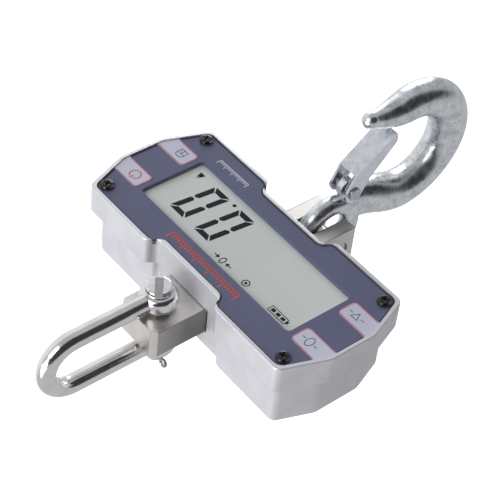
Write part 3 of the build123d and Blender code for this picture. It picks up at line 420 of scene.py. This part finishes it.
def arc(radius, start, end, steps=CURVE_STEPS, middle=(0, 0), tall=1.0):
    """Points around an arc, angles in degrees from +X."""
    turns = [radians(start + (end - start) * i / steps) for i in range(steps + 1)]
    return [(middle[0] + radius * cos(t), middle[1] + tall * radius * sin(t)) for t in turns]


def ring(radius, middle=(0, 0), tall=1.0, count=RING_POINTS):
    """Points all around a circle, or around an oval that is tall times as high."""
    return arc(radius, 0, 360 * (count - 1) / count, count - 1, middle, tall)


def stroke(line, width, closed=False):
    """Quads that thicken a line of points, mitred at its corners."""
    points = [Vector(p) for p in line]
    count = len(points)
    sides = []
    for i, point in enumerate(points):
        before = points[i - 1] if closed or i else point
        after = points[(i + 1) % count] if closed or i < count - 1 else point
        entry = (point - before).normalized() if point != before else (after - point).normalized()
        leave = (after - point).normalized() if point != after else entry
        across = Vector((-entry.y - leave.y, entry.x + leave.x)).normalized()
        reach = width / 2 / max(SHARPEST, across.dot(Vector((-entry.y, entry.x))))
        sides.append((tuple(point + across * reach), tuple(point - across * reach)))
    pairs = list(zip(sides, sides[1:])) + ([(sides[-1], sides[0])] if closed else [])
    return [(a[0], b[0], b[1], a[1]) for a, b in pairs]


def placed(shapes, x, z):
    """Shapes moved by (x, z)."""
    return [[(x + a, z + b) for a, b in shape] for shape in shapes]


# All print is laid out in millimetres about the head's middle, x to the reader's right and z up.
KEYS = ("power_key", "light_key", "zero_key", "tare_key")


def about_middle(point):
    """A point in metres as (x, z) in millimetres about the head's middle."""
    return point.x / MM, (point.z - HEAD_Z) / MM


# painted shadow of the gap around the panel: a dark strip drawn along its outer edge
PANEL_GAP = 1.5            # half of it over the panel
KEY_NOTCH = 1.2            # the line stops this far from a key
SAME_POINT = 0.01 * MM
SAME_FACE = 0.04 * MM


def outer_edge(node, face_y):
    """Outer loop of the node's flat face at face_y."""
    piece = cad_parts[node]
    flat = bmesh.new()
    flat.from_mesh(piece.data)
    flat.transform(piece.matrix_world)
    bmesh.ops.remove_doubles(flat, verts=flat.verts, dist=SAME_POINT)
    faces = [face for face in flat.faces if all(abs(v.co.y - face_y) < SAME_FACE for v in face.verts)]
    follow = {}
    for face in faces:
        for edge in face.edges:
            if sum(other in faces for other in edge.link_faces) == 1:
                for vert in edge.verts:
                    follow.setdefault(vert, []).append(edge.other_vert(vert))
    start = max(follow, key=lambda v: v.co.x)
    loop, ahead = [start], follow[start][0]
    while ahead != start:
        before = loop[-1]
        loop.append(ahead)
        ahead = next(v for v in follow[ahead] if v != before)
    points = [about_middle(v.co) for v in loop]
    flat.free()
    return points


def beside_key(shape):
    """True where the middle of a shape is on a key or in its notch."""
    x, z = (sum(point[i] for point in shape) / len(shape) for i in (0, 1))
    for key in KEYS:
        (left, low), (right, high) = (about_middle(corner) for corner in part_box(key))
        if left - KEY_NOTCH < x < right + KEY_NOTCH and low - KEY_NOTCH < z < high + KEY_NOTCH:
            return True
    return False


edge_line = stroke(outer_edge("front_panel", PANEL_Y), PANEL_GAP, closed=True)
gap_shadow = [shape for shape in edge_line if not beside_key(shape)]
# the strip is painted shadow, in the seal's black rubber finish
stamp("panel_gap_shadow", gap_shadow, PANEL_Y, CAD_FINISHES["rubber"], "head")

# keys: an outline on three sides and a symbol
KEY_CORNER = 2.6
OUTLINE = 0.75
OUTER_END = 0.8            # the outline stops this far from the key's outer edge
EDGE_SLANT = 3.4           # the panel's slanted edge cuts the outer arm of the outline shorter
SYMBOL_X = 73.4
THIN = 0.46                # stroke of most symbols
BOLD = 0.6


def key_print(key, symbol, material):
    """Prints the outline and symbol of one key."""
    (left, low), (right, high) = (about_middle(corner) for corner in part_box(key))
    face_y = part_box(key)[0].y
    side = 1 if right > 0 else -1
    up = 1 if low + high > 0 else -1
    inner = min(abs(left), abs(right)) + OUTLINE / 2
    outer = max(abs(left), abs(right)) - OUTER_END
    near = (low if up > 0 else high) + up * OUTLINE / 2
    far = (high if up > 0 else low) - up * OUTLINE / 2
    bend = KEY_CORNER - OUTLINE / 2
    line = [(outer, near)]
    line += arc(bend, 270, 180, middle=(inner + bend, near + up * bend), tall=up)
    line += arc(bend, 180, 90, middle=(inner + bend, far - up * bend), tall=up)
    line += [(outer - EDGE_SLANT, far)]
    outline = stroke([(side * x, z) for x, z in line], OUTLINE)
    stamp(f"{key}_outline", outline, face_y, PINK_INK, key)
    shapes = placed(symbol, side * SYMBOL_X, (low + high) / 2)
    stamp(f"{key}_symbol", shapes, face_y, material, key)


# power: an open ring with a bar; light: a lamp's dome; zero and tare: a sign between two dashes
power_symbol = stroke(arc(3.2, 112, 428, RING_POINTS), BOLD) + stroke([(0, 1.2), (0, 4.2)], BOLD)
dome = [(2.7, -2.9), (2.7, 0.4)] + arc(2.7, 0, 180, 14, (0, 0.4)) + [(-2.7, -2.9)]
light_symbol = stroke(dome, THIN, closed=True) + stroke([(-2.7, 0.2), (2.7, 0.2)], THIN)
light_symbol += stroke([(0, -2.9), (0, 0.2)], THIN) + stroke([(0.9, -1.3), (1.9, -1.3)], THIN)
dashes = stroke([(-5.3, 0), (-3.1, 0)], THIN) + stroke([(3.1, 0), (5.3, 0)], THIN)
zero_symbol = dashes + stroke(ring(2.0, tall=1.55), THIN, closed=True)
tare_symbol = dashes + stroke([(-2.2, 2.2), (2.2, 2.2), (0, -2.2)], THIN, closed=True)
SYMBOLS = (power_symbol, light_symbol, zero_symbol, tare_symbol)
for key, symbol, material in zip(KEYS, SYMBOLS, (RED_INK, GREY_INK, GREY_INK, GREY_INK)):
    key_print(key, symbol, material)


# panel: a graduated stripe above the display and a short one below it
LONG_EVERY = 5


def graduations(left, right, base, short, tall, count, width):
    """A row of ticks on a base line, every fifth one tall."""
    shapes = stroke([(left, base), (right, base)], width)
    for i in range(count + 1):
        x = left + (right - left) * i / count
        top = base + (short if i % LONG_EVERY else tall)
        shapes += stroke([(x, base), (x, top)], width)
    return shapes


stripe = graduations(left=-29.0, right=26.0, base=24.6, short=3.2, tall=5.6, count=25, width=0.85)
stamp("panel_stripe", stripe, PANEL_Y, ORANGE_INK, "head")
short_stripe = graduations(left=33.0, right=57.0, base=-30.8, short=2.0, tall=3.6, count=20, width=0.42)
stamp("panel_short_stripe", short_stripe, PANEL_Y, WHITE_INK, "head")

# display: two slanted seven-segment zeros with a point, and plain status marks
DIGIT_LEFTS = (9.7, 31.0)
DIGIT_WIDE = 12.7
DIGIT_LOW = -17.0
DIGIT_TALL = 29.5
SLANT = 0.1
BAR = 3.4                  # thickness of a segment
GAP = 0.32                 # between a segment and the corner it points to
LEVEL_CUT = 0.4            # cut off the ends of a level segment, past the gap
END_CUT = 0.5              # cut off an upright segment at the digit's end
WAIST_CUT = 0.9            # and at the waist
BLUNT = 0.9                # depth of the points at the waist, in half bars
POINT_PLACE = (26.5, -16.2)
POINT_RADIUS = 1.15


def zero_digit(left):
    """Six pointed segments around a zero."""
    low, high, right = DIGIT_LOW, DIGIT_LOW + DIGIT_TALL, left + DIGIT_WIDE
    waist = (low + high) / 2
    shapes = []
    for z, inward in ((high, -1), (low, 1)):
        shapes.append([
            (left + GAP + LEVEL_CUT, z),
            (right - GAP - LEVEL_CUT, z),
            (right - BAR - GAP, z + inward * BAR),
            (left + BAR + GAP, z + inward * BAR),
        ])
    for x, inward in ((left, 1), (right, -1)):
        for end, toward in ((low, 1), (high, -1)):
            shapes.append([
                (x, end + toward * (GAP + END_CUT)),
                (x + inward * BAR, end + toward * (BAR + GAP)),
                (x + inward * BAR, waist - toward * (BAR / 2 * BLUNT + GAP)),
                (x + inward * BAR / 2, waist - toward * GAP),
                (x, waist - toward * (GAP + WAIST_CUT)),
            ])
    return shapes


def lean(shapes):
    """Shapes leaning to the right from the foot of the digits."""
    return [[(x + (z - DIGIT_LOW) * SLANT, z) for x, z in shape] for shape in shapes]


segments = lean([shape for left in DIGIT_LEFTS for shape in zero_digit(left)])
segments.append(ring(POINT_RADIUS, POINT_PLACE))

BATTERY_LOW, BATTERY_HIGH = 13.8, 15.9
battery = stroke([(-54.6, 12.9), (-42.2, 12.9), (-42.2, 16.8), (-54.6, 16.8)], 0.45, closed=True)
battery.append(rectangle(-56.0, -54.8, BATTERY_LOW, BATTERY_HIGH))
battery += [rectangle(x, x + 2.6, BATTERY_LOW, BATTERY_HIGH) for x in (-53.4, -49.7, -46.0)]

STEADY_PLACE = (-22.0, 14.7)
steady = stroke(ring(2.1, STEADY_PLACE), BOLD, closed=True)
steady.append(ring(0.9, STEADY_PLACE, count=DOT_POINTS))

ZERO_X, ZERO_Z = -2.5, 14.5
at_zero = stroke(ring(1.4, (ZERO_X, ZERO_Z), tall=1.6), BOLD, closed=True)
for side in (1, -1):
    at_zero += stroke([(ZERO_X + side * 6.8, ZERO_Z), (ZERO_X + side * 4.4, ZERO_Z)], BOLD)
    barb = [(2.6, 0), (4.6, 1.5), (4.6, -1.5)]
    at_zero.append([(ZERO_X + side * x, ZERO_Z + z) for x, z in barb])

weight = [[(53.6, -17.4), (57.4, -17.4), (56.6, -14.2), (54.4, -14.2)]]
weight += stroke(ring(0.7, (55.5, -13.6)), 0.35, closed=True)
marks = {"display_digits": segments, "battery_mark": battery, "steady_mark": steady,
         "at_zero_mark": at_zero, "weight_mark": weight}
for name, shapes in marks.items():
    stamp(name, shapes, GLASS_Y, SEGMENT_INK, "head")

# ---------------------------------------------------------------- floor
FLOOR_DROP = 0.36          # room below the hook, so that the head can swing
FLOOR_HALF = 8
FLOOR_GLOW = 0.75          # keeps the floor white beneath soft light
floor_mesh = bpy.data.meshes.new("floor")
floor_corners = [(x * FLOOR_HALF, y * FLOOR_HALF, 0) for x, y in ((-1, -1), (1, -1), (1, 1), (-1, 1))]
floor_mesh.from_pydata(floor_corners, [], [(0, 1, 2, 3)])
floor = bpy.data.objects.new("floor", floor_mesh)
floor.location = (0, 0, cad_bounds[0].z - FLOOR_DROP)
floor.visible_glossy = False
floor.visible_diffuse = False
bpy.context.scene.collection.objects.link(floor)
floor_paint = Finish("floor_paint", (0.9, 0.9, 0.9), roughness=0.9, Emission_Strength=FLOOR_GLOW)
floor_paint.shader.inputs["Emission Color"].default_value = (1, 1, 1, 1)
floor.data.materials.append(floor_paint.material)

# ---------------------------------------------------------------- light
# strength of the light from each part of the room, and the directions between which it comes up
TABLE = 0.62               # behind the head, towards +Y
TABLE_EDGE = (-0.04, 0.06)
ROOM = 0.56                # everywhere but on the dark side, towards -X
ROOM_EDGE = (-0.38, -0.26)
WINDOW = 1.2               # towards +X
WINDOW_EDGE = (0.38, 0.64)
DARK = 0.05                # the least light from anywhere
BACKDROP = 1.05            # what the camera sees past the floor
DAYLIGHT = (0.985, 0.985, 1.0, 1)
LAMPS = {                  # place, width and height, power
    "back_light": ((0.75, -0.42, -0.85), 0.5, 4.0),
    "front_light": ((-0.10, -0.75, 0.80), 0.7, 4.0),
    "upper_light": ((-0.10, 0.10, 1.0), 0.7, 8.0),
}


def softbox(name, place, size, power):
    """Large soft light at place, facing the head's middle."""
    light = bpy.data.lights.new(name, "AREA")
    light.shape = "RECTANGLE"
    light.size = light.size_y = size
    light.energy = power
    lamp = bpy.data.objects.new(name, light)
    lamp.location = place
    toward = Vector((0, 0, HEAD_Z)) - Vector(place)
    lamp.rotation_euler = toward.to_track_quat("-Z", "Y").to_euler()
    lamp.visible_camera = False
    bpy.context.scene.collection.objects.link(lamp)


def studio_world():
    """A bright window on the right, an even room, a pale table behind and a dark band on the left."""
    world = bpy.data.worlds.new("studio")
    bpy.context.scene.world = world
    world.use_nodes = True
    nodes = world.node_tree.nodes
    links = world.node_tree.links
    split = nodes.new("ShaderNodeSeparateXYZ")
    links.new(nodes.new("ShaderNodeTexCoord").outputs["Generated"], split.inputs["Vector"])

    def mapped(value, low, high, to_low, to_high, kind="LINEAR"):
        """Value mapped from low..high to to_low..to_high."""
        ramp = nodes.new("ShaderNodeMapRange")
        ramp.interpolation_type = kind
        names = ("From Min", "From Max", "To Min", "To Max")
        for name, number in zip(names, (low, high, to_low, to_high)):
            ramp.inputs[name].default_value = number
        links.new(value, ramp.inputs["Value"])
        return ramp

    def step(value, edge, strength):
        """Light that rises softly to strength across an edge."""
        return mapped(value, *edge, 0, strength, "SMOOTHSTEP").outputs["Result"]

    def larger(first, second):
        """The larger of two values."""
        node = nodes.new("ShaderNodeMath")
        node.operation = "MAXIMUM"
        links.new(first, node.inputs[0])
        links.new(second, node.inputs[1])
        return node.outputs["Value"]

    x, y = split.outputs["X"], split.outputs["Y"]
    light = larger(step(y, TABLE_EDGE, TABLE), step(x, ROOM_EDGE, ROOM))
    light = larger(light, step(x, WINDOW_EDGE, WINDOW))
    shade = mapped(light, 0, 1, DARK, 1)
    camera_ray = nodes.new("ShaderNodeLightPath").outputs["Is Camera Ray"]
    seen = mapped(camera_ray, 0, 1, 0, BACKDROP)
    links.new(shade.outputs["Result"], seen.inputs["To Min"])
    links.new(seen.outputs["Result"], nodes["Background"].inputs["Strength"])
    nodes["Background"].inputs["Color"].default_value = DAYLIGHT


studio_world()
for name, (place, size, power) in LAMPS.items():
    softbox(name, place, size, power)
bpy.context.scene.view_settings.view_transform = "Standard"

# ---------------------------------------------------------------- camera
CAMERA_PLACE = (-0.4421, -0.6145, 0.2951)
FORWARD = (0.5184, 0.7008, -0.4900)
UPWARD = (0.5868, -0.7084, -0.3923)
SENSOR_WIDTH = 36
LENS = 116.69
NEAREST = 0.05             # nothing closer than this is seen
camera_data = bpy.data.cameras.new("camera")
camera_data.sensor_width = SENSOR_WIDTH
camera_data.lens = LENS
camera_data.clip_start = NEAREST
camera = bpy.data.objects.new("camera", camera_data)
forward = Vector(FORWARD).normalized()
rightward = forward.cross(Vector(UPWARD)).normalized()
upward = rightward.cross(forward)
turn = Matrix((rightward, upward, -forward)).transposed().to_4x4()
camera.matrix_world = Matrix.Translation(CAMERA_PLACE) @ turn
bpy.context.scene.collection.objects.link(camera)
bpy.context.scene.camera = camera
